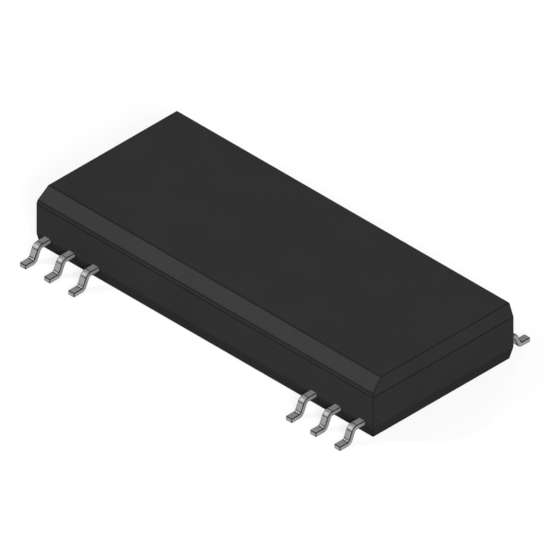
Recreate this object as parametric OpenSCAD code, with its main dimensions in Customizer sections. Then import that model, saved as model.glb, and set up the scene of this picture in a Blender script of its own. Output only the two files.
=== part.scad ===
// Digital isolator in a wide surface-mount package. The moulded body has gull-wing leads in
// a group at each end of both long sides. Inside it, two chips sit on separate metal paddles,
// one for each long side, and pairs of fine wires carry the signals over the gap between them.
// Sizes are in millimetres. The origin is on the board, under the middle of the body: +X runs
// along the body, -Y is the bevelled side, which has lead 1 at its -X end, and +Z points up.

/* [Body] */
// Width of the body at its upright band
body_width = 7.4; // [6.6:0.1:9]
// Distance from the last lead position to the end of the body
end_margin = 0.595; // [0.4:0.005:1.2]
// Gap between the board and the underside
standoff = 0.1; // [0.02:0.01:0.3]
// Height of the lower taper, from the underside up to the parting line
lower_taper = 0.545; // [0.4:0.005:0.8]
// Height of the upright band, above the parting line
band_height = 1.36; // [0.9:0.02:2]
// Height of the upper taper, from the band up to the top face
upper_taper = 0.645; // [0.5:0.005:0.9]
// How far each wall leans in over a taper
taper_inset = 0.11; // [0.02:0.01:0.2]
// How far the bevel reaches over the top, from the bevelled side's band
bevel_reach = 0.53; // [0.25:0.01:0.65]
// Slope of the bevel, from level
bevel_angle = 44; // [30:1:55]

/* [Leads] */
// Spacing of the lead positions along a side
lead_pitch = 1.27; // [1:0.01:1.6]
// Number of lead positions along a side, filled or empty
lead_positions = 14; // [10:2:20]
// Number of leads fitted at each end of a side
leads_per_end = 3; // [2:1:3]
// Width of a lead outside the body
lead_width = 0.32; // [0.25:0.01:0.5]
// Thickness of the lead-frame metal
lead_thickness = 0.2; // [0.12:0.01:0.25]
// Level length of a lead between the body and its first bend
shoulder_length = 0.4; // [0.1:0.01:0.8]
// Slope of the leg between the two bends, from level
leg_angle = 66; // [45:1:80]
// Radius on the inside of both bends
bend_radius = 0.09; // [0.05:0.01:0.12]
// Level length of the foot that is soldered down
foot_length = 0.41; // [0.25:0.01:1]

/* [Lead frame inside the body] */
// Gap between the two paddles
isolation_gap = 1.2; // [0.8:0.1:1.6]
// Rim of bare paddle around a chip
paddle_rim = 0.35; // [0.15:0.05:0.5]
// Width of the fingers that run from the leads towards the chips
finger_width = 0.4; // [0.3:0.02:0.5]
// Gap between a paddle and the tips of the fingers
finger_gap = 0.35; // [0.2:0.05:0.8]
// Depth inside the wall at which a lead widens into its finger, which locks it in the moulding
lock_depth = 0.3; // [0.1:0.05:0.5]

/* [Chips] */
// Length of a chip, along the body
die_length = 3.4; // [2:0.1:4.5]
// Width of a chip, across the body
die_width = 1.6; // [1.2:0.1:1.8]
// Thickness of a chip
die_thickness = 0.28; // [0.15:0.01:0.4]
// Thickness of the adhesive under a chip
attach_thickness = 0.03; // [0.02:0.005:0.06]
// Rim of adhesive that shows around a chip
attach_rim = 0.06; // [0.02:0.01:0.12]

/* [Wires] */
// Thickness of a wire, across its flats
wire_size = 0.03; // [0.02:0.005:0.05]
// Width of the ball that joins a wire to a chip, across its flats
ball_width = 0.08; // [0.06:0.005:0.12]
// Height of the ball
ball_height = 0.03; // [0.02:0.005:0.05]
// Height of a wire's loop above its ball's chip
loop_height = 0.24; // [0.18:0.01:0.5]
// Size of the corner where a wire turns from its ball into its loop
loop_corner = 0.06; // [0.03:0.01:0.1]
// Length of the flat end that is pressed onto a finger or the other chip
stitch_length = 0.08; // [0.05:0.01:0.15]
// Distance from a chip's edge to the wires that end on it
pad_inset = 0.1; // [0.06:0.01:0.2]
// Distance from a finger's tip to the end of its wire
stitch_inset = 0.25; // [0.1:0.05:0.5]
// Number of signal channels across the isolation gap
channels = 2; // [1:1:3]
// Spacing of the channels along the body
channel_spacing = 1.2; // [0.8:0.1:1.2]
// Spacing of the two wires of one channel
pair_spacing = 0.3; // [0.15:0.05:0.5]

/* [Hidden] */
body_colour = "#303030";
lead_colour = "#9c9c9a";
die_colour = "#5a6070";
attach_colour = "#b9b6ac";
wire_colour = "#d8b25a";

// Number of flat sides of a wire, and the ratio of its corner radius to its flat radius
wire_sides = 8;
corner_ratio = 1 / cos(180 / wire_sides);
// Share of a wire's span at which its loop starts to fall
loop_crest = 0.4;
// Number of steps in a full turn of a bend, where it is drawn with flat steps
bend_steps = 72;

half_width = body_width / 2;
half_length = (lead_positions - 1) * lead_pitch / 2 + end_margin;
underside_z = standoff;
parting_z = underside_z + lower_taper;
band_top_z = parting_z + band_height;
top_z = band_top_z + upper_taper;
// Length that takes an extrusion or a cut well past the body
overshoot = 2 * (half_length + half_width);

// The leads leave the body with their mid-plane on the parting line
frame_top_z = parting_z + lead_thickness / 2;
mid_bend_radius = bend_radius + lead_thickness / 2;
leg_drop = parting_z - lead_thickness / 2 - 2 * mid_bend_radius * (1 - cos(leg_angle));
leg_length = leg_drop / sin(leg_angle);

die_bottom_z = frame_top_z + attach_thickness;
die_top_z = die_bottom_z + die_thickness;
paddle_length = die_length + 2 * paddle_rim;
paddle_width = die_width + 2 * paddle_rim;
paddle_inner_y = isolation_gap / 2;
paddle_middle_y = paddle_inner_y + paddle_width / 2;
finger_tip_x = paddle_length / 2 + finger_gap;
stitch_x = finger_tip_x + stitch_inset;
row_spacing = (paddle_width - finger_width) / (leads_per_end - 1);
pad_x = die_length / 2 - pad_inset;
pad_spacing = (die_width - 2 * pad_inset) / (leads_per_end - 1);
barrier_pad_y = paddle_inner_y + paddle_rim + pad_inset;

// The leads of each side are counted from 1, at its -X end
last_lead = 2 * leads_per_end;
function at_left_end(n) = n <= leads_per_end ? 1 : 0;
function steps_from_end(n) = at_left_end(n) ? n - 1 : last_lead - n;
// Counts a group's leads from 0, its innermost, towards the end of the body
function order(n) = leads_per_end - 1 - steps_from_end(n);
// The innermost lead at the +X end of each side carries that side's paddle
function has_paddle(n) = order(n) == 0 && at_left_end(n) == 0;

// Distances from the middle of the body to a lead, to its finger, and to its wire's pad on the chip
function lead_x(n) = ((lead_positions - 1) / 2 - steps_from_end(n)) * lead_pitch;
function finger_y(n) = paddle_inner_y + paddle_width - finger_width / 2 - order(n) * row_spacing;
function pad_y(n) = paddle_middle_y + ((leads_per_end - 1) / 2 - order(n)) * pad_spacing;
// Wires across the gap are counted from 1 at the -X end, with two to a channel
function barrier_x(n) = (floor((n - 1) / 2) - (channels - 1) / 2) * channel_spacing
    + ((n - 1) % 2 - 1 / 2) * pair_spacing;

// Side A is the bevelled side, and side B is the far one
SIDES = ["a", "b"];
LEADS = [1 : last_lead];
BARRIER_WIRES = [1 : 2 * channels];
function side_node(side, piece, n = "") = str("side_", side, "_", piece, n);
function barrier_node(n) = str("barrier_wire_", n);

// Section of the body between two opposite walls, which stand half a width from the middle
module tapered_section(half) {
    polygon([
        [taper_inset - half, underside_z],
        [half - taper_inset, underside_z],
        [half, parting_z],
        [half, band_top_z],
        [half - taper_inset, top_z],
        [taper_inset - half, top_z],
        [-half, band_top_z],
        [-half, parting_z]
    ]);
}

module bevel_cut() {
    translate([bevel_reach - half_width, top_z])
        rotate(180 + bevel_angle)
            translate([-overshoot / 2, -overshoot])
                square([overshoot, overshoot]);
}

module mould_block() {
    intersection() {
        rotate([90, 0, 90])
            linear_extrude(height = overshoot, center = true)
                difference() {
                    tapered_section(half_width);
                    bevel_cut();
                }
        rotate([90, 0, 0])
            linear_extrude(height = overshoot, center = true)
                tapered_section(half_length);
    }
}

// Moves what is drawn on side B to the side that is named
module on_side(side) {
    mirror([0, side == "a" ? 1 : 0, 0])
        children();
}

// Moves what is drawn at the +X end to the end of lead n
module at_end(n) {
    mirror([at_left_end(n), 0, 0])
        children();
}

// Flat part of a lead in plan: its shoulder, its finger and any paddle
module lead_plan(n) {
    shoulder_end = half_width + shoulder_length;
    finger_start = half_width - lock_depth;
    finger_tip = has_paddle(n) ? 0 : finger_tip_x;
    finger_inner_y = finger_y(n) - finger_width / 2;
    translate([lead_x(n) - lead_width / 2, finger_y(n)])
        square([lead_width, shoulder_end - finger_y(n)]);
    translate([lead_x(n) - finger_width / 2, finger_inner_y])
        square([finger_width, finger_start - finger_inner_y]);
    translate([finger_tip, finger_inner_y])
        square([lead_x(n) + finger_width / 2 - finger_tip, finger_width]);
    if (has_paddle(n))
        translate([-paddle_length / 2, paddle_inner_y])
            square([paddle_length, paddle_width]);
}

module lead_flat(n) {
    at_end(n)
        translate([0, 0, parting_z])
            linear_extrude(height = lead_thickness, center = true)
                lead_plan(n);
}

// Straight stretch of formed lead along +X, with its width along Z
module strip(length) {
    translate([0, -lead_thickness / 2, -lead_width / 2])
        cube([length, lead_thickness, lead_width]);
}

// Bend that starts along +X and turns towards +Y by the leg's angle
module bend() {
    translate([0, mid_bend_radius, 0])
        rotate(-90)
            rotate_extrude(angle = leg_angle, $fn = bend_steps)
                translate([bend_radius, -lead_width / 2])
                    square([lead_thickness, lead_width]);
}

// Moves what follows to the end of a bend
module after_bend() {
    translate([0, mid_bend_radius, 0])
        rotate(leg_angle)
            translate([0, -mid_bend_radius, 0])
                children();
}

// Gull wing from the end of the shoulder: bend, leg, bend and foot
module gull_wing() {
    mirror([0, 1, 0]) {
        bend();
        after_bend() {
            strip(leg_length);
            translate([leg_length, 0, 0])
                mirror([0, 1, 0]) {
                    bend();
                    after_bend()
                        strip(foot_length);
                }
        }
    }
}

module lead(n) {
    color(lead_colour) {
        lead_flat(n);
        at_end(n)
            translate([lead_x(n), half_width + shoulder_length, parting_z])
                rotate([90, 0, 90])
                    gull_wing();
    }
}

// Flat block on the middle of side B's paddle
module on_paddle(length, width, bottom_z, height) {
    translate([-length / 2, paddle_middle_y - width / 2, bottom_z])
        cube([length, width, height]);
}

module die_attach() {
    color(attach_colour)
        on_paddle(die_length + 2 * attach_rim, die_width + 2 * attach_rim,
            frame_top_z, attach_thickness);
}

module die() {
    color(die_colour)
        on_paddle(die_length, die_width, die_bottom_z, die_thickness);
}

// Points along a wire, in its upright plane: up from the ball, over the loop and down to the end
function wire_points(span, end_z) = [
    [0, ball_height],
    [0, loop_height - loop_corner],
    [loop_corner, loop_height],
    [span * loop_crest, loop_height],
    [span - stitch_length, end_z],
    [span, end_z]
];

function heading(a, b) = atan2(b[1] - a[1], b[0] - a[0]);

// Ring of corners around a point of a wire, square to the heading and stretched in the bend's plane
function ring(point, angle, stretch, size) = [
    for (k = [0 : wire_sides - 1])
        let (
            turn = (k + 1 / 2) * 360 / wire_sides,
            across = size / 2 * corner_ratio * cos(turn),
            outward = size / 2 * corner_ratio * sin(turn) * stretch
        )
        [point[0] - outward * sin(angle), across, point[1] + outward * cos(angle)]
];

// Ring at point i of a wire, which halves the turn between the stretches that meet there
function wire_ring(points, i) =
    let (
        last = len(points) - 1,
        before = heading(points[max(i - 1, 0)], points[max(i, 1)]),
        after = heading(points[min(i, last - 1)], points[min(i + 1, last)])
    )
    ring(points[i], (before + after) / 2, 1 / cos((after - before) / 2), wire_size);

// Wire with a ball on its start, at the origin, and its stitched end at span along +X and end_z
module wire(span, end_z) {
    points = wire_points(span, end_z);
    up = 90;
    corners = concat(
        ring([0, 0], up, 1, ball_width),
        ring([0, ball_height], up, 1, ball_width),
        [for (i = [0 : len(points) - 1]) each wire_ring(points, i)]
    );
    rings = len(points) + 2;
    sides = [
        for (r = [0 : rings - 2], k = [0 : wire_sides - 1])
            let (next = (k + 1) % wire_sides)
            [
                r * wire_sides + k,
                (r + 1) * wire_sides + k,
                (r + 1) * wire_sides + next,
                r * wire_sides + next
            ]
    ];
    first_cap = [for (k = [0 : wire_sides - 1]) k];
    last_cap = [for (k = [1 : wire_sides]) rings * wire_sides - k];
    color(wire_colour)
        polyhedron(points = corners, faces = concat([first_cap], sides, [last_cap]));
}

// Wire from a pad on top of a chip to a place in plan whose surface lies end_drop lower
module wire_between(start, end, end_drop) {
    translate([start[0], start[1], die_top_z])
        rotate(heading(start, end))
            wire(norm(end - start), wire_size / 2 - end_drop);
}

module lead_wire(n) {
    at_end(n)
        wire_between([pad_x, pad_y(n)], [stitch_x, finger_y(n)], die_top_z - frame_top_z);
}

module barrier_wire(n) {
    wire_between([barrier_x(n), -barrier_pad_y], [barrier_x(n), barrier_pad_y], 0);
}

module mould_body() {
    color(body_colour)
        difference() {
            mould_block();
            for (side = SIDES)
                on_side(side) {
                    die_attach();
                    die();
                    for (n = LEADS) {
                        lead_flat(n);
                        lead_wire(n);
                    }
                }
            for (n = BARRIER_WIRES)
                barrier_wire(n);
        }
}

mould_body();
for (side = SIDES) {
    on_side(side) die_attach();
    on_side(side) die();
    for (n = LEADS) {
        on_side(side) lead(n);
        on_side(side) lead_wire(n);
    }
}
for (n = BARRIER_WIRES)
    barrier_wire(n);
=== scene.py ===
"""Looks of a digital isolator in a wide surface-mount package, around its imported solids.

The moulded body and the plated leads are modelled here, and the chips, adhesive and wires inside
keep their solids. Meshes are shaped in millimetres and scaled to metres as each piece is finished.
"""

import math

import bmesh
import bpy
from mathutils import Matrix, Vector


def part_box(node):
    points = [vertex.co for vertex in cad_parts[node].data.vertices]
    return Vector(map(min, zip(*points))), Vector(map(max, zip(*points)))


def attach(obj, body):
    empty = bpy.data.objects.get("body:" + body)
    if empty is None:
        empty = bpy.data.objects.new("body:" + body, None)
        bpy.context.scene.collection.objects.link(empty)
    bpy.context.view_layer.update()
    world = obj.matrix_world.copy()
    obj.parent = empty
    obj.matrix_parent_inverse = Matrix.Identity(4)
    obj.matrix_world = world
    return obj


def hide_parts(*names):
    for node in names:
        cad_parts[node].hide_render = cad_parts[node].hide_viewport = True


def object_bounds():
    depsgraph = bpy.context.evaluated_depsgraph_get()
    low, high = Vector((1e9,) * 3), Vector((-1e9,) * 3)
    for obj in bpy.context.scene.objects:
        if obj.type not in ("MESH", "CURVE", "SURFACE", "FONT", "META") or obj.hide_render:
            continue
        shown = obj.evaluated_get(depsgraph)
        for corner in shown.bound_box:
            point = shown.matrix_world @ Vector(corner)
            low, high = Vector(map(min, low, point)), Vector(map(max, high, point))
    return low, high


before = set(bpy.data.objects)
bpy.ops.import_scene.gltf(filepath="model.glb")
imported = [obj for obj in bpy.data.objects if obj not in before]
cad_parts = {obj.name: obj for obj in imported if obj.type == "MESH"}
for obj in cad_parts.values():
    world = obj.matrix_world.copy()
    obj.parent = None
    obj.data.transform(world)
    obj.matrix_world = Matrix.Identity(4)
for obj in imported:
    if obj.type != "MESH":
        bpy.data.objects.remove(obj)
cad_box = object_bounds()
scene = bpy.context.scene

# A millimetre in metres, and the sizes in millimetres
MM = 0.001
LEAD_WIDTH = 0.32
LEAD_THICKNESS = 0.2
SHOULDER_LENGTH = 0.4
FOOT_LENGTH = 0.41
BEND_RADIUS = 0.09
FINGER_WIDTH = 0.4
LOCK_DEPTH = 0.3
LEAD_EDGE_ROUND = 0.035
BODY_EDGE_ROUND = 0.04
TOUCH = 0.0001

# Angles, the steps of what is round, and how strongly large faces hold their shading flat
LEG_ANGLE = math.radians(66)
FLAT_ANGLE = math.radians(0.1)
FOLD_ANGLE = math.radians(5)
CORNER_ANGLE = math.radians(40)
BEND_STEPS = 10
EDGE_STEPS = 3
FLAT_WEIGHT = 100

# Width of the tool marks where a bend starts and ends, and how strongly they show beside the edges
MARK_WIDTH = 0.042
BEND_MARK = 0.9

# The leads of each side are counted from 1 at the -X end, and one of them carries the chip's paddle
SIDES = {"a": -1, "b": 1}
LEAD_COUNT = 6
PADDLE_LEAD = 4
BARRIER_WIRE_COUNT = 4


def box_mm(node):
    """Lowest and highest corner of a node, in millimetres."""
    low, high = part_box(node)
    return low / MM, high / MM


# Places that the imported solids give
body_low, body_high = box_mm("mould_body")
wall_y = body_high.y
lead_reach = max(abs(corner.x) for corner in box_mm("side_b_lead_1"))
frame_top = box_mm("side_b_die_attach")[0].z
parting = frame_top - LEAD_THICKNESS / 2
loops_top = box_mm("barrier_wire_1")[1].z


# Meshes

def start_mesh():
    """Empty mesh whose faces hold a mark, from 0 to 1, of the edges that the materials show."""
    bm = bmesh.new()
    bm.faces.layers.float.new("edge")
    return bm


def round_edges(bm, is_chosen, radius):
    """Rounds the chosen edges, and marks the new faces as an edge."""
    edge_mark = bm.faces.layers.float["edge"]
    rounded = bmesh.ops.bevel(
        bm,
        geom=[edge for edge in bm.edges if is_chosen(edge)],
        offset=radius,
        offset_type="OFFSET",
        segments=EDGE_STEPS,
        profile=0.5,
        affect="EDGES",
        material=-1,
        clamp_overlap=True,
    )
    for face in rounded["faces"]:
        face[edge_mark] = 1.0


def keep_corners(bm):
    """Keeps the shading sharp across the corners that are left."""
    for edge in bm.edges:
        if edge.calc_face_angle() > CORNER_ANGLE:
            edge.smooth = False


def finish_piece(bm, name, node, material):
    """Makes the mesh an object in metres that stands for a node."""
    bmesh.ops.scale(bm, vec=Vector((MM, MM, MM)), verts=bm.verts)
    for face in bm.faces:
        face.smooth = True
    mesh = bpy.data.meshes.new(name)
    bm.to_mesh(mesh)
    bm.free()
    mesh.materials.append(material)
    piece = bpy.data.objects.new(name, mesh)
    scene.collection.objects.link(piece)
    keep_flats = piece.modifiers.new("keep_flats", "WEIGHTED_NORMAL")
    keep_flats.weight = FLAT_WEIGHT
    keep_flats.keep_sharp = True
    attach(piece, "root")
    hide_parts(node)


def is_outer_corner(edge):
    """True for the body's outer corners and folds, and not for its pockets or its leads' slots."""
    if edge.calc_face_angle() < FOLD_ANGLE:
        return False
    ends = [vert.co for vert in edge.verts]
    past_leads = all(abs(end.x) > lead_reach + TOUCH for end in ends)
    on_top = all(end.z > loops_top + LEAD_THICKNESS for end in ends)
    below = all(end.z < body_low.z + TOUCH for end in ends)
    on_wall = all(abs(end.y) > wall_y - TOUCH for end in ends)
    at_parting = all(abs(end.z - parting) < TOUCH for end in ends)
    return past_leads or on_top or below or (on_wall and at_parting)


def make_body(material):
    """The moulded body with its pockets for the lead frame, and softly rounded outer corners."""
    bm = start_mesh()
    bm.from_mesh(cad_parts["mould_body"].data)
    bmesh.ops.scale(bm, vec=Vector((1, 1, 1)) / MM, verts=bm.verts)
    bmesh.ops.remove_doubles(bm, verts=bm.verts, dist=TOUCH)
    bmesh.ops.dissolve_limit(bm, angle_limit=FLAT_ANGLE, verts=bm.verts, edges=bm.edges)
    round_edges(bm, is_outer_corner, BODY_EDGE_ROUND)

    # The fold at the parting line keeps the tone of the walls
    edge_mark = bm.faces.layers.float["edge"]
    for face in bm.faces:
        if all(abs(vert.co.z - parting) < BODY_EDGE_ROUND + TOUCH for vert in face.verts):
            face[edge_mark] = 0.0
    keep_corners(bm)
    finish_piece(bm, "moulded_body", "mould_body", material)


def lead_outline(side, number):
    """Middle and plan of a lead's flat part, drawn as if it were at the +X end of side B."""
    low, high = box_mm(f"side_{side}_lead_{number}")
    near_y = min(abs(low.y), abs(high.y))
    near_x, far_x = sorted((abs(low.x), abs(high.x)))
    middle_x = far_x - FINGER_WIDTH / 2
    left = middle_x - LEAD_WIDTH / 2
    right = middle_x + LEAD_WIDTH / 2
    shoulder_y = wall_y + SHOULDER_LENGTH - MARK_WIDTH / 2
    lock_y = wall_y - LOCK_DEPTH
    if number == PADDLE_LEAD:
        die_low, die_high = box_mm(f"side_{side}_die")
        bar_y = abs(die_low.y + die_high.y) - near_y
        inner_y = bar_y - FINGER_WIDTH
        tip = [(-near_x, bar_y), (-near_x, near_y), (near_x, near_y), (near_x, inner_y)]
    else:
        inner_y = near_y
        bar_y = near_y + FINGER_WIDTH
        tip = [(near_x, bar_y), (near_x, inner_y)]
    return middle_x, [
        (left, shoulder_y),
        (left, lock_y),
        (middle_x - FINGER_WIDTH / 2, lock_y),
        (middle_x - FINGER_WIDTH / 2, bar_y),
        *tip,
        (far_x, inner_y),
        (far_x, lock_y),
        (right, lock_y),
        (right, shoulder_y),
    ]


def mark_faces(bm, end, mark):
    """Marks the upper and lower faces that the strip has just gained, which lie along its end."""
    edge_mark = bm.faces.layers.float["edge"]
    for edge in end.edges:
        first, last = edge.verts
        runs_across = abs(first.co.x - last.co.x) > TOUCH
        for face in edge.link_faces:
            face[edge_mark] = mark if runs_across and face is not end else 0.0


def extend(bm, face, move, mark=0.0):
    """Draws a face out by a move, and gives the face at its new place."""
    geometry = [*face.verts, *face.edges, face]
    drawn = bmesh.ops.extrude_face_region(bm, geom=geometry)["geom"]
    verts = [item for item in drawn if isinstance(item, bmesh.types.BMVert)]
    bmesh.ops.translate(bm, vec=move, verts=verts)
    end = next(item for item in drawn if isinstance(item, bmesh.types.BMFace))
    mark_faces(bm, end, mark)
    return end


def turn(bm, face, centre, angle, upper_radius):
    """Bends the strip on from a face, about a line along X, and gives the face at its end."""
    mark_angle = math.copysign(MARK_WIDTH / 2 / upper_radius, angle)
    plain_angle = (angle - 2 * mark_angle) / BEND_STEPS
    plain_steps = [(plain_angle, 0.0)] * BEND_STEPS
    end = face
    for step, mark in [(mark_angle, BEND_MARK), *plain_steps, (mark_angle, BEND_MARK)]:
        bent = bmesh.ops.spin(
            bm,
            geom=[*end.verts, *end.edges, end],
            cent=centre,
            axis=(1, 0, 0),
            angle=step,
            steps=1,
            use_merge=False,
            use_duplicate=False,
        )
        end = next(item for item in bent["geom_last"] if isinstance(item, bmesh.types.BMFace))
        mark_faces(bm, end, mark)
    return end


def draw_gull_wing(bm, middle_x):
    """Draws the flat strip on from its outer end: a bend, the leg, a bend and the foot."""
    shoulder_y = wall_y + SHOULDER_LENGTH
    mark = Vector((0, MARK_WIDTH / 2, 0))
    mid_radius = BEND_RADIUS + LEAD_THICKNESS / 2
    bend_drop = mid_radius * (1 - math.cos(LEG_ANGLE))
    leg_drop = parting - LEAD_THICKNESS / 2 - 2 * bend_drop
    leg = Vector((0, leg_drop / math.tan(LEG_ANGLE), -leg_drop))
    leg_mark = leg.normalized() * mark.y
    foot_y = shoulder_y + 2 * mid_radius * math.sin(LEG_ANGLE) + leg.y
    shoulder_centre = (middle_x, shoulder_y, parting - mid_radius)
    foot_centre = (middle_x, foot_y, LEAD_THICKNESS / 2 + mid_radius)

    flat_y = shoulder_y - mark.y - TOUCH
    end = next(face for face in bm.faces if all(vert.co.y > flat_y for vert in face.verts))
    end = extend(bm, end, mark, BEND_MARK)
    end = turn(bm, end, shoulder_centre, -LEG_ANGLE, BEND_RADIUS + LEAD_THICKNESS)
    end = extend(bm, end, leg_mark, BEND_MARK)
    end = extend(bm, end, leg - 2 * leg_mark)
    end = extend(bm, end, leg_mark, BEND_MARK)
    end = turn(bm, end, foot_centre, LEG_ANGLE, BEND_RADIUS)
    end = extend(bm, end, mark, BEND_MARK)
    extend(bm, end, Vector((0, FOOT_LENGTH, 0)) - mark)


def is_strip_corner(edge):
    """True for the corners of a lead's strip outside the body, and not for the steps of its bends."""
    outside = all(vert.co.y > wall_y - TOUCH for vert in edge.verts)
    return outside and edge.calc_face_angle() > CORNER_ANGLE


def make_lead(side, number, material):
    """One lead: its finger inside the body, its shoulder and its gull wing, as one strip."""
    middle_x, outline = lead_outline(side, number)
    underside = parting - LEAD_THICKNESS / 2
    bm = start_mesh()
    plan = bm.faces.new([bm.verts.new((x, y, underside)) for x, y in outline])
    extend(bm, plan, Vector((0, 0, LEAD_THICKNESS)))
    bmesh.ops.recalc_face_normals(bm, faces=bm.faces)
    draw_gull_wing(bm, middle_x)

    everything = [*bm.verts, *bm.edges, *bm.faces]
    bmesh.ops.bisect_plane(bm, geom=everything, plane_co=(0, wall_y, 0), plane_no=(0, 1, 0))
    round_edges(bm, is_strip_corner, LEAD_EDGE_ROUND)
    keep_corners(bm)

    end_sign = -1 if number <= LEAD_COUNT // 2 else 1
    bmesh.ops.scale(bm, vec=Vector((end_sign, SIDES[side], 1)), verts=bm.verts)
    bmesh.ops.recalc_face_normals(bm, faces=bm.faces)
    node = f"side_{side}_lead_{number}"
    finish_piece(bm, f"plated_lead_{side}{number}", node, material)


# Nodes that the materials are made of

# Places of the sockets that a mix node uses for colours, because their names repeat
MIX_SHARE = 0
MIX_FIRST = 6
MIX_SECOND = 7
MIX_RESULT = 2


def add(tree, kind, settings=None, sockets=None):
    """Adds a node with its settings, and sets or links its sockets."""
    node = tree.nodes.new(kind)
    for name, value in (settings or {}).items():
        setattr(node, name, value)
    for name, value in (sockets or {}).items():
        if isinstance(value, bpy.types.NodeSocket):
            tree.links.new(value, node.inputs[name])
        else:
            node.inputs[name].default_value = value
    return node


def calculate(tree, operation, *values):
    """Result of a calculation on values, each a number or another node's output."""
    node = add(tree, "ShaderNodeMath", {"operation": operation}, dict(enumerate(values)))
    return node.outputs["Value"]


def spread(tree, value, limits, span=(0.0, 1.0)):
    """Maps a value that runs over a span to the limits, and no further."""
    sockets = {
        "Value": value,
        "From Min": span[0],
        "From Max": span[1],
        "To Min": limits[0],
        "To Max": limits[1],
    }
    return add(tree, "ShaderNodeMapRange", {"clamp": True}, sockets).outputs["Result"]


def mixed(tree, share, first, second):
    """Colour between two, by a share that is a number or another node's output."""
    sockets = {MIX_SHARE: share, MIX_FIRST: first, MIX_SECOND: second}
    return add(tree, "ShaderNodeMix", {"data_type": "RGBA"}, sockets).outputs[MIX_RESULT]


def laid_over(tree, colour, mask, tone, share):
    """Colour with a share of a tone over it, where a mask shows."""
    return mixed(tree, calculate(tree, "MULTIPLY", mask, share), colour, tone)


def grey(level):
    """Neutral colour of a linear level."""
    return (level, level, level, 1.0)


# Effects that several materials share

VALUE = "NodeSocketFloat"
COLOUR = "NodeSocketColor"
PATTERN_INPUTS = {"Place": "NodeSocketVector", "Size": VALUE}
GRAIN_DETAIL = 2.0
GRAIN_BREAKUP = 0.6
DRIFT_DETAIL = 3.0
DRIFT_BREAKUP = 0.5

# The span that most of a noise lies in
NOISE_SPAN = (0.3, 0.7)

# Chance above which a cell of the grain holds a fleck, and where in the cell it fades out
FLECK_CHANCE = (0.86, 0.96)
FLECK_RADIUS = (0.15, 0.5)


def start_group(name, inputs, outputs):
    """Empty node group with the named sockets: what it is given, and what it puts out."""
    group = bpy.data.node_groups.new(name, "ShaderNodeTree")
    for label, kind in inputs.items():
        group.interface.new_socket(label, in_out="INPUT", socket_type=kind)
    for label, kind in outputs.items():
        group.interface.new_socket(label, in_out="OUTPUT", socket_type=kind)
    start = group.nodes.new("NodeGroupInput")
    end = group.nodes.new("NodeGroupOutput")
    return group, start.outputs, end.inputs


def add_noise(group, given, scale, detail, breakup):
    """Noise at the place that a group is given."""
    sockets = {"Vector": given["Place"], "Scale": scale, "Detail": detail, "Roughness": breakup}
    return add(group, "ShaderNodeTexNoise", None, sockets).outputs["Fac"]


def grain_group():
    """Fine grain of a given size: its height, and a mask of the odd bright fleck."""
    outputs = {"Height": VALUE, "Flecks": VALUE}
    group, given, result = start_group("fine_grain", PATTERN_INPUTS, outputs)
    scale = calculate(group, "DIVIDE", 1.0, given["Size"])
    height = add_noise(group, given, scale, GRAIN_DETAIL, GRAIN_BREAKUP)
    cell_sockets = {"Vector": given["Place"], "Scale": scale}
    cells = add(group, "ShaderNodeTexVoronoi", None, cell_sockets).outputs
    chance = add(group, "ShaderNodeSeparateColor", None, {"Color": cells["Color"]}).outputs["Red"]
    few = spread(group, chance, (0.0, 1.0), FLECK_CHANCE)
    dot = spread(group, cells["Distance"], (1.0, 0.0), FLECK_RADIUS)
    group.links.new(height, result["Height"])
    group.links.new(calculate(group, "MULTIPLY", few, dot), result["Flecks"])
    return group


def drift_group():
    """Slow drift over a surface, from 0 to 1."""
    group, given, result = start_group("slow_drift", PATTERN_INPUTS, {"Drift": VALUE})
    scale = calculate(group, "DIVIDE", 1.0, given["Size"])
    noise = add_noise(group, given, scale, DRIFT_DETAIL, DRIFT_BREAKUP)
    group.links.new(spread(group, noise, (0.0, 1.0), NOISE_SPAN), result["Drift"])
    return group


def edge_group():
    """Another tone on the rounded edges and bend marks, as the faces' own marks give them."""
    inputs = {"Colour": COLOUR, "Edge Tone": COLOUR, "Share": VALUE}
    group, given, result = start_group("toned_edges", inputs, {"Colour": COLOUR})
    marks = add(group, "ShaderNodeAttribute", {"attribute_name": "edge"}).outputs["Fac"]
    colour = laid_over(group, given["Colour"], marks, given["Edge Tone"], given["Share"])
    group.links.new(colour, result["Colour"])
    return group


fine_grain = grain_group()
slow_drift = drift_group()
toned_edges = edge_group()


def use_group(tree, group, sockets):
    """Places a shared effect in a material with its own values."""
    return add(tree, "ShaderNodeGroup", {"node_tree": group}, sockets).outputs


# Materials: tones are linear, and sizes and depths are in millimetres

def start_material(name, metallic):
    """Node material with its shader, and the place on the piece in millimetres."""
    material = bpy.data.materials.new(name)
    material.use_nodes = True
    tree = material.node_tree
    shader = tree.nodes["Principled BSDF"]
    shader.inputs["Metallic"].default_value = metallic
    coords = add(tree, "ShaderNodeTexCoord").outputs["Object"]
    per_mm = (1 / MM, 1 / MM, 1 / MM)
    place = add(tree, "ShaderNodeMapping", None, {"Vector": coords, "Scale": per_mm})
    return material, tree, shader, place.outputs["Vector"]


def set_finish(tree, shader, colour, roughness):
    """Gives the shader its colour and its roughness over the surface."""
    tree.links.new(colour, shader.inputs["Base Color"])
    tree.links.new(roughness, shader.inputs["Roughness"])


def set_bump(tree, shader, height, depth):
    """Raises the surface by a height pattern, up to a depth in millimetres."""
    sockets = {"Height": height, "Strength": 1.0, "Distance": depth * MM}
    bump = add(tree, "ShaderNodeBump", None, sockets)
    tree.links.new(bump.outputs["Normal"], shader.inputs["Normal"])


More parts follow.
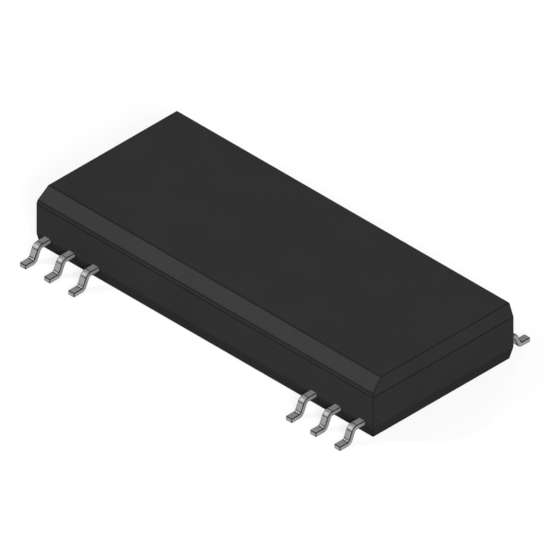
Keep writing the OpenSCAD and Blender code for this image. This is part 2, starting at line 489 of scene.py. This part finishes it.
EPOXY_TONES = (grey(0.0253), grey(0.0281))
EPOXY_DRIFT_SIZE = 2.2
EPOXY_GRAIN_SIZE = 0.07
EPOXY_GRAIN_DEPTH = 0.0015
EPOXY_ROUGHNESS = (0.16, 0.22)
EPOXY_GLOSS = 0.0045
FILLER_TONE = grey(0.06)
FILLER_SHARE = 0.35
# Painted shade on the body's lower half, below the parting line, where its walls slope down away from
# the light
LOWER_SHADE_TONE = grey(0.01)
LOWER_SHADE_SHARE = 0.36
PARTING_BLUR = 0.02
EPOXY_EDGE_TONE = grey(0.008)
EPOXY_EDGE_SHARE = 0.55


def mould_compound():
    """Matte black epoxy with fine filler, darker at its edges, with painted shade below the parting
    line.
    """
    material, tree, shader, place = start_material("mould_compound", metallic=0.0)
    grain = use_group(tree, fine_grain, {"Place": place, "Size": EPOXY_GRAIN_SIZE})
    drift = use_group(tree, slow_drift, {"Place": place, "Size": EPOXY_DRIFT_SIZE})["Drift"]
    height = add(tree, "ShaderNodeSeparateXYZ", None, {"Vector": place}).outputs["Z"]
    # Painted shade: everything below the parting line is darkened, standing in for the shading of the
    # downward-sloping lower walls
    around_parting = (parting - PARTING_BLUR, parting + PARTING_BLUR)
    painted_lower_shade = spread(tree, height, (1.0, 0.0), around_parting)
    colour = mixed(tree, drift, *EPOXY_TONES)
    colour = laid_over(tree, colour, grain["Flecks"], FILLER_TONE, FILLER_SHARE)
    colour = laid_over(tree, colour, painted_lower_shade, LOWER_SHADE_TONE, LOWER_SHADE_SHARE)
    edges = {"Colour": colour, "Edge Tone": EPOXY_EDGE_TONE, "Share": EPOXY_EDGE_SHARE}
    colour = use_group(tree, toned_edges, edges)["Colour"]
    set_finish(tree, shader, colour, spread(tree, grain["Height"], EPOXY_ROUGHNESS, NOISE_SPAN))
    shader.inputs["Specular IOR Level"].default_value = EPOXY_GLOSS
    set_bump(tree, shader, grain["Height"], EPOXY_GRAIN_DEPTH)
    return material


TIN_METALLIC = 0.4
TIN_IOR = 1.2
TIN_TONES = ((0.29, 0.29, 0.287, 1), (0.33, 0.33, 0.327, 1))
TIN_DRIFT_SIZE = 0.6
TIN_GRAIN_SIZE = 0.03
TIN_GRAIN_DEPTH = 0.0015
TIN_ROUGHNESS = (0.4, 0.52)
LINE_TONE = grey(0.25)
LINE_SHARE = 0.25
LINE_SIZE = 0.03
LINE_STRETCH = (1.0, 0.06, 0.06)
TIN_EDGE_TONE = grey(0.025)
TIN_EDGE_SHARE = 0.95
COPPER_TONES = ((0.58, 0.27, 0.16, 1), (0.68, 0.34, 0.21, 1))
PLATING_INSIDE = 0.05


def tin_plating():
    """Matte tin with faint lines along the strip and darker edges, over copper, bare in the body."""
    material, tree, shader, place = start_material("tin_plating", TIN_METALLIC)
    grain = use_group(tree, fine_grain, {"Place": place, "Size": TIN_GRAIN_SIZE})
    drift = use_group(tree, slow_drift, {"Place": place, "Size": TIN_DRIFT_SIZE})["Drift"]
    along = add(tree, "ShaderNodeMapping", None, {"Vector": place, "Scale": LINE_STRETCH})
    line_sockets = {"Place": along.outputs["Vector"], "Size": LINE_SIZE}
    lines = use_group(tree, slow_drift, line_sockets)["Drift"]
    tin = mixed(tree, drift, *TIN_TONES)
    tin = laid_over(tree, tin, lines, LINE_TONE, LINE_SHARE)
    edges = {"Colour": tin, "Edge Tone": TIN_EDGE_TONE, "Share": TIN_EDGE_SHARE}
    tin = use_group(tree, toned_edges, edges)["Colour"]
    copper = mixed(tree, drift, *COPPER_TONES)
    across = add(tree, "ShaderNodeSeparateXYZ", None, {"Vector": place}).outputs["Y"]
    distance = calculate(tree, "ABSOLUTE", across)
    inside = calculate(tree, "LESS_THAN", distance, wall_y - PLATING_INSIDE)
    colour = mixed(tree, inside, tin, copper)
    set_finish(tree, shader, colour, spread(tree, grain["Height"], TIN_ROUGHNESS, NOISE_SPAN))
    shader.inputs["IOR"].default_value = TIN_IOR
    set_bump(tree, shader, grain["Height"], TIN_GRAIN_DEPTH)
    return material


SILICON_TONE = (0.085, 0.09, 0.1, 1)
SILICON_GRAIN_SIZE = 0.02
SILICON_ROUGHNESS = (0.12, 0.22)
BLOCK_TONES = ((0.075, 0.09, 0.12, 1), (0.09, 0.105, 0.135, 1))
BLOCK_LENGTH = 0.62
BLOCK_WIDTH = 0.41
BLOCK_SHORTENED = 0.5
TRACK_TONE = (0.11, 0.12, 0.135, 1)
TRACK_WIDTH = 0.01
TRACK_BLUR = 0.4
SPECK_TONE = (0.2, 0.2, 0.19, 1)
SPECK_SHARE = 0.2
FACES_UP = (0.5, 0.9)


def silicon():
    """Polished silicon, with faint blocks and tracks of circuitry on its upper face."""
    material, tree, shader, place = start_material("silicon", metallic=0.0)
    grain = use_group(tree, fine_grain, {"Place": place, "Size": SILICON_GRAIN_SIZE})
    block_sockets = {
        "Vector": place,
        "Color1": BLOCK_TONES[0],
        "Color2": BLOCK_TONES[1],
        "Mortar": TRACK_TONE,
        "Scale": 1.0,
        "Mortar Size": TRACK_WIDTH,
        "Mortar Smooth": TRACK_BLUR,
        "Brick Width": BLOCK_LENGTH,
        "Row Height": BLOCK_WIDTH,
    }
    rows = {"offset": 0.0, "squash": BLOCK_SHORTENED}
    blocks = add(tree, "ShaderNodeTexBrick", rows, block_sockets).outputs["Color"]
    facing = add(tree, "ShaderNodeNewGeometry").outputs["Normal"]
    upward = add(tree, "ShaderNodeSeparateXYZ", None, {"Vector": facing}).outputs["Z"]
    upper_face = spread(tree, upward, (0.0, 1.0), FACES_UP)
    colour = mixed(tree, upper_face, SILICON_TONE, blocks)
    colour = laid_over(tree, colour, grain["Flecks"], SPECK_TONE, SPECK_SHARE)
    set_finish(tree, shader, colour, spread(tree, grain["Height"], SILICON_ROUGHNESS))
    return material


ADHESIVE_TONES = ((0.4, 0.39, 0.365, 1), (0.5, 0.49, 0.455, 1))
ADHESIVE_DRIFT_SIZE = 0.4
ADHESIVE_ROUGHNESS = (0.4, 0.6)
FLAKE_TONE = grey(0.75)
FLAKE_SHARE = 0.6
FLAKE_SIZE = 0.02
FLAKE_DEPTH = 0.002


def chip_adhesive():
    """Grey adhesive filled with metal flakes."""
    material, tree, shader, place = start_material("chip_adhesive", metallic=0.0)
    grain = use_group(tree, fine_grain, {"Place": place, "Size": FLAKE_SIZE})
    drift = use_group(tree, slow_drift, {"Place": place, "Size": ADHESIVE_DRIFT_SIZE})["Drift"]
    colour = mixed(tree, drift, *ADHESIVE_TONES)
    colour = laid_over(tree, colour, grain["Flecks"], FLAKE_TONE, FLAKE_SHARE)
    set_finish(tree, shader, colour, spread(tree, grain["Height"], ADHESIVE_ROUGHNESS))
    set_bump(tree, shader, grain["Height"], FLAKE_DEPTH)
    return material


GOLD_TONES = ((0.8, 0.5, 0.17, 1), (0.88, 0.58, 0.22, 1))
GOLD_DRIFT_SIZE = 0.15
GOLD_ROUGHNESS = (0.2, 0.32)


def gold():
    """Drawn gold wire, with a slight drift of tone and polish."""
    material, tree, shader, place = start_material("gold", metallic=1.0)
    drift = use_group(tree, slow_drift, {"Place": place, "Size": GOLD_DRIFT_SIZE})["Drift"]
    colour = mixed(tree, drift, *GOLD_TONES)
    set_finish(tree, shader, colour, spread(tree, drift, GOLD_ROUGHNESS))
    return material


def dress(node, material):
    """Gives a node that keeps its own solid its material."""
    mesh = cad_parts[node].data
    mesh.materials.clear()
    mesh.materials.append(material)


# Floor, light and camera, in metres and degrees

WHITE = grey(1.0)
FLOOR_SIZE = 0.8
FLOOR_TONE = grey(0.22)
FLOOR_LIFT = 0.8
KEY_LIGHT = {"azimuth": 55, "elevation": 27.5, "distance": 0.4, "size": 0.14, "level": 1.13}
SIDE_LIGHT = {"azimuth": -46, "elevation": 37, "distance": 0.4, "size": 0.08, "level": 0.45}
BACK_LIGHT = {"azimuth": 215, "elevation": 8, "distance": 0.4, "size": 0.1, "level": 0.8}
CAMERA_AZIMUTH = 45
CAMERA_ELEVATION = math.degrees(math.atan(1 / math.sqrt(2)))
CAMERA_DISTANCE = 0.08
NEAREST_SEEN = 0.001
FARTHEST_SEEN = 10.0
VIEW_WIDTH = 0.02042

# Levels of the surround at the horizon and overhead, and the heights between which it fades
SKY_LEVELS = (1.0, 0.26)
SKY_FADE = (0.0, 0.06)


def direction(azimuth, elevation):
    """Unit vector towards a place around the object, with azimuth 0 on the -Y side."""
    around = math.radians(azimuth)
    up = math.radians(elevation)
    out = math.cos(up)
    return Vector((math.sin(around) * out, -math.cos(around) * out, math.sin(up)))


def floor_material():
    """Grey floor that keeps the object's shadow, lifted to white in the view and in reflections."""
    material = bpy.data.materials.new("floor_white")
    material.use_nodes = True
    tree = material.node_tree
    shader = tree.nodes["Principled BSDF"]
    shader.inputs["Base Color"].default_value = FLOOR_TONE
    shader.inputs["Roughness"].default_value = 1.0
    shader.inputs["Specular IOR Level"].default_value = 0.0
    shader.inputs["Emission Color"].default_value = WHITE
    paths = add(tree, "ShaderNodeLightPath").outputs
    mirrored = calculate(tree, "MAXIMUM", paths["Is Glossy Ray"], paths["Is Transmission Ray"])
    seen = calculate(tree, "MAXIMUM", paths["Is Camera Ray"], mirrored)
    lift = calculate(tree, "MULTIPLY", seen, FLOOR_LIFT)
    tree.links.new(lift, shader.inputs["Emission Strength"])
    return material


def make_floor():
    """Plain floor under the object."""
    bm = bmesh.new()
    bmesh.ops.create_grid(bm, x_segments=1, y_segments=1, size=FLOOR_SIZE / 2)
    mesh = bpy.data.meshes.new("floor")
    bm.to_mesh(mesh)
    bm.free()
    mesh.materials.append(floor_material())
    floor = bpy.data.objects.new("floor", mesh)
    scene.collection.objects.link(floor)


def make_sky():
    """Soft studio surround: white at the horizon and greyer overhead."""
    world = bpy.data.worlds.new("studio")
    world.use_nodes = True
    tree = world.node_tree
    coords = add(tree, "ShaderNodeTexCoord").outputs["Generated"]
    height = add(tree, "ShaderNodeSeparateXYZ", None, {"Vector": coords}).outputs["Z"]
    background = tree.nodes["Background"]
    background.inputs["Color"].default_value = WHITE
    tree.links.new(spread(tree, height, SKY_LEVELS, SKY_FADE), background.inputs["Strength"])
    scene.world = world


def add_light(name, azimuth, elevation, distance, size, level, in_gloss=True):
    """Square softbox aimed at the object, which may be left out of the gloss of what it lights.

    Level 1 lights a white sheet that faces it to white.
    """
    light = bpy.data.lights.new(name, "AREA")
    light.size = size
    light.energy = level * math.pi ** 2 * distance ** 2
    lamp = bpy.data.objects.new(name, light)
    lamp.visible_glossy = in_gloss
    towards = direction(azimuth, elevation)
    lamp.location = towards * distance
    lamp.rotation_euler = towards.to_track_quat("Z", "Y").to_euler()
    scene.collection.objects.link(lamp)


def make_camera():
    """Camera without perspective, at equal angles to the top, a long side and an end."""
    lens = bpy.data.cameras.new("camera")
    lens.type = "ORTHO"
    lens.ortho_scale = VIEW_WIDTH
    lens.clip_start = NEAREST_SEEN
    lens.clip_end = FARTHEST_SEEN
    camera = bpy.data.objects.new("camera", lens)
    towards = direction(CAMERA_AZIMUTH, CAMERA_ELEVATION)
    camera.location = (cad_box[0] + cad_box[1]) / 2 + towards * CAMERA_DISTANCE
    camera.rotation_euler = towards.to_track_quat("Z", "Y").to_euler()
    scene.collection.objects.link(camera)
    scene.camera = camera


# Pieces

make_body(mould_compound())
plating = tin_plating()
silicon_finish = silicon()
adhesive_finish = chip_adhesive()
gold_finish = gold()
for side in SIDES:
    for number in range(1, LEAD_COUNT + 1):
        make_lead(side, number, plating)
        dress(f"side_{side}_wire_{number}", gold_finish)
    dress(f"side_{side}_die", silicon_finish)
    dress(f"side_{side}_die_attach", adhesive_finish)
for number in range(1, BARRIER_WIRE_COUNT + 1):
    dress(f"barrier_wire_{number}", gold_finish)

# Surroundings

make_floor()
make_sky()
add_light("key", **KEY_LIGHT)
add_light("side", **SIDE_LIGHT)
add_light("back", **BACK_LIGHT, in_gloss=False)
make_camera()
scene.view_settings.view_transform = "Standard"
